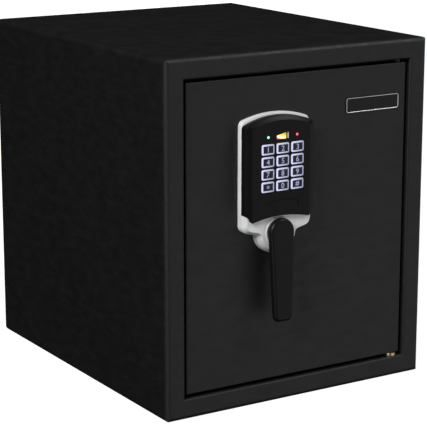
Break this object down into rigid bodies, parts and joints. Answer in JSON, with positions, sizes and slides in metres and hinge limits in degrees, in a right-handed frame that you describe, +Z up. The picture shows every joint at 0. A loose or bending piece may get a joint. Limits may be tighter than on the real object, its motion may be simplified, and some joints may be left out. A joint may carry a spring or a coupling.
{
  "type": "electronic lock safe",
  "caption": "Insulated floor safe with a stepped plug door on concealed pivot hinges, a lit keypad, a lever handle, sliding bolts and an inner shelf.",
  "frame": {"origin": "centre of the flat base, at floor level", "axes": "+X right and +Y away as seen by a person facing the door, +Z up"},
  "size_m": [0.35, 0.4354, 0.403],
  "materials": {
    "black_paint": "satin",
    "black_handle": "satin",
    "dark_plastic": "matte",
    "insulation": "matte",
    "steel": "brushed",
    "brass": "satin",
    "gasket_rubber": "matte",
    "plate_enamel": "gloss",
    "silver_paint": "satin",
    "bright_metal": "polished",
    "black_plastic": "satin",
    "key_silicone": "translucent",
    "board": "satin",
    "green_lens": "lit",
    "red_lens": "lit",
    "level_pane": "lit",
    "cell_label": "gloss",
    "solenoid_wrap": "satin",
    "cable_jacket": "matte",
    "lit_key": "lit"
  },
  "bodies": {
    "cabinet": {"outer_shell": "black_paint", "back_panel": "black_paint", "jamb_frame": "dark_plastic", "cabinet_insulation": "insulation", "inner_liner": "dark_plastic", "strike_plate": "steel", "strike_box": "steel", "hinge_brackets": "steel", "hinge_pins": "steel", "hinge_washer": "brass", "shelf_rails": "dark_plastic"},
    "shelf": {"shelf": "dark_plastic"},
    "door": {"door_panel": "black_paint", "door_insulation": "insulation", "door_liner": "dark_plastic", "door_gasket": "gasket_rubber", "hinge_plates": "steel", "nameplate": "plate_enamel", "keypad_bezel": "silver_paint", "keypad_housing": "black_plastic", "key_mat": "key_silicone", "keypad_board": "board", "green_led": "green_lens", "red_led": "red_lens", "level_window": "level_pane", "battery_tray": "dark_plastic", "batteries": "cell_label", "battery_contacts": "steel", "handle_collar": "bright_metal", "spindle_bushing": "brass", "lock_base_plate": "steel", "guide_posts": "steel", "solenoid_body": "solenoid_wrap", "door_cover": "dark_plastic", "cover_screws": "steel", "keypad_cable": "cable_jacket", "fixed_bolts": "steel"},
    "handle": {"handle_lever": "black_handle", "spindle": "steel", "lock_cam": "steel", "spindle_clip": "steel"},
    "bolt_carrier": {"bolt_carrier": "steel", "locking_bolts": "steel", "carrier_pin": "steel"},
    "plunger": {"solenoid_plunger": "steel", "plunger_spring": "steel"},
    "battery_cover": {"battery_cover": "black_plastic"},
    "key_1": {"key_1": "lit_key"},
    "key_2": {"key_2": "lit_key"},
    "key_3": {"key_3": "lit_key"},
    "key_4": {"key_4": "lit_key"},
    "key_5": {"key_5": "lit_key"},
    "key_6": {"key_6": "lit_key"},
    "key_7": {"key_7": "lit_key"},
    "key_8": {"key_8": "lit_key"},
    "key_9": {"key_9": "lit_key"},
    "key_star": {"key_star": "lit_key"},
    "key_0": {"key_0": "lit_key"},
    "key_hash": {"key_hash": "lit_key"}
  },
  "joints": [
    {"name": "door_hinge", "type": "hinge", "parent": "cabinet", "child": "door", "pos_m": [0.139, -0.1955, 0.2015], "axis": [0, 0, 1], "range_deg": [0, 100]},
    {"name": "shelf_lift", "type": "slide", "parent": "cabinet", "child": "shelf", "axis": [0, 0, 1], "range_m": [0, 0.012]},
    {"name": "handle_turn", "type": "hinge", "parent": "door", "child": "handle", "pos_m": [-0.0365, -0.2222, 0.202], "axis": [0, 1, 0], "range_deg": [0, 75]},
    {"name": "bolt_slide", "type": "slide", "parent": "door", "child": "bolt_carrier", "axis": [-1, 0, 0], "range_m": [0, 0.018]},
    {"name": "plunger_slide", "type": "slide", "parent": "door", "child": "plunger", "axis": [0, 0, -1], "range_m": [0, 0.006], "deforming": ["plunger_spring"]},
    {"name": "battery_cover_pull", "type": "slide", "parent": "door", "child": "battery_cover", "axis": [0, -1, 0], "range_m": [0, 0.012]},
    {"name": "key_1_press", "type": "slide", "parent": "door", "child": "key_1", "axis": [0, 1, 0], "range_m": [0, 0.0015], "stiffness_N_per_m": 300, "springref_m": -0.001},
    {"name": "key_2_press", "type": "slide", "parent": "door", "child": "key_2", "axis": [0, 1, 0], "range_m": [0, 0.0015], "stiffness_N_per_m": 300, "springref_m": -0.001},
    {"name": "key_3_press", "type": "slide", "parent": "door", "child": "key_3", "axis": [0, 1, 0], "range_m": [0, 0.0015], "stiffness_N_per_m": 300, "springref_m": -0.001},
    {"name": "key_4_press", "type": "slide", "parent": "door", "child": "key_4", "axis": [0, 1, 0], "range_m": [0, 0.0015], "stiffness_N_per_m": 300, "springref_m": -0.001},
    {"name": "key_5_press", "type": "slide", "parent": "door", "child": "key_5", "axis": [0, 1, 0], "range_m": [0, 0.0015], "stiffness_N_per_m": 300, "springref_m": -0.001},
    {"name": "key_6_press", "type": "slide", "parent": "door", "child": "key_6", "axis": [0, 1, 0], "range_m": [0, 0.0015], "stiffness_N_per_m": 300, "springref_m": -0.001},
    {"name": "key_7_press", "type": "slide", "parent": "door", "child": "key_7", "axis": [0, 1, 0], "range_m": [0, 0.0015], "stiffness_N_per_m": 300, "springref_m": -0.001},
    {"name": "key_8_press", "type": "slide", "parent": "door", "child": "key_8", "axis": [0, 1, 0], "range_m": [0, 0.0015], "stiffness_N_per_m": 300, "springref_m": -0.001},
    {"name": "key_9_press", "type": "slide", "parent": "door", "child": "key_9", "axis": [0, 1, 0], "range_m": [0, 0.0015], "stiffness_N_per_m": 300, "springref_m": -0.001},
    {"name": "key_star_press", "type": "slide", "parent": "door", "child": "key_star", "axis": [0, 1, 0], "range_m": [0, 0.0015], "stiffness_N_per_m": 300, "springref_m": -0.001},
    {"name": "key_0_press", "type": "slide", "parent": "door", "child": "key_0", "axis": [0, 1, 0], "range_m": [0, 0.0015], "stiffness_N_per_m": 300, "springref_m": -0.001},
    {"name": "key_hash_press", "type": "slide", "parent": "door", "child": "key_hash", "axis": [0, 1, 0], "range_m": [0, 0.0015], "stiffness_N_per_m": 300, "springref_m": -0.001}
  ],
  "couplings": [
    {"joint": "bolt_slide", "follows": "handle_turn", "m_per_rad": 0.01375}
  ]
}
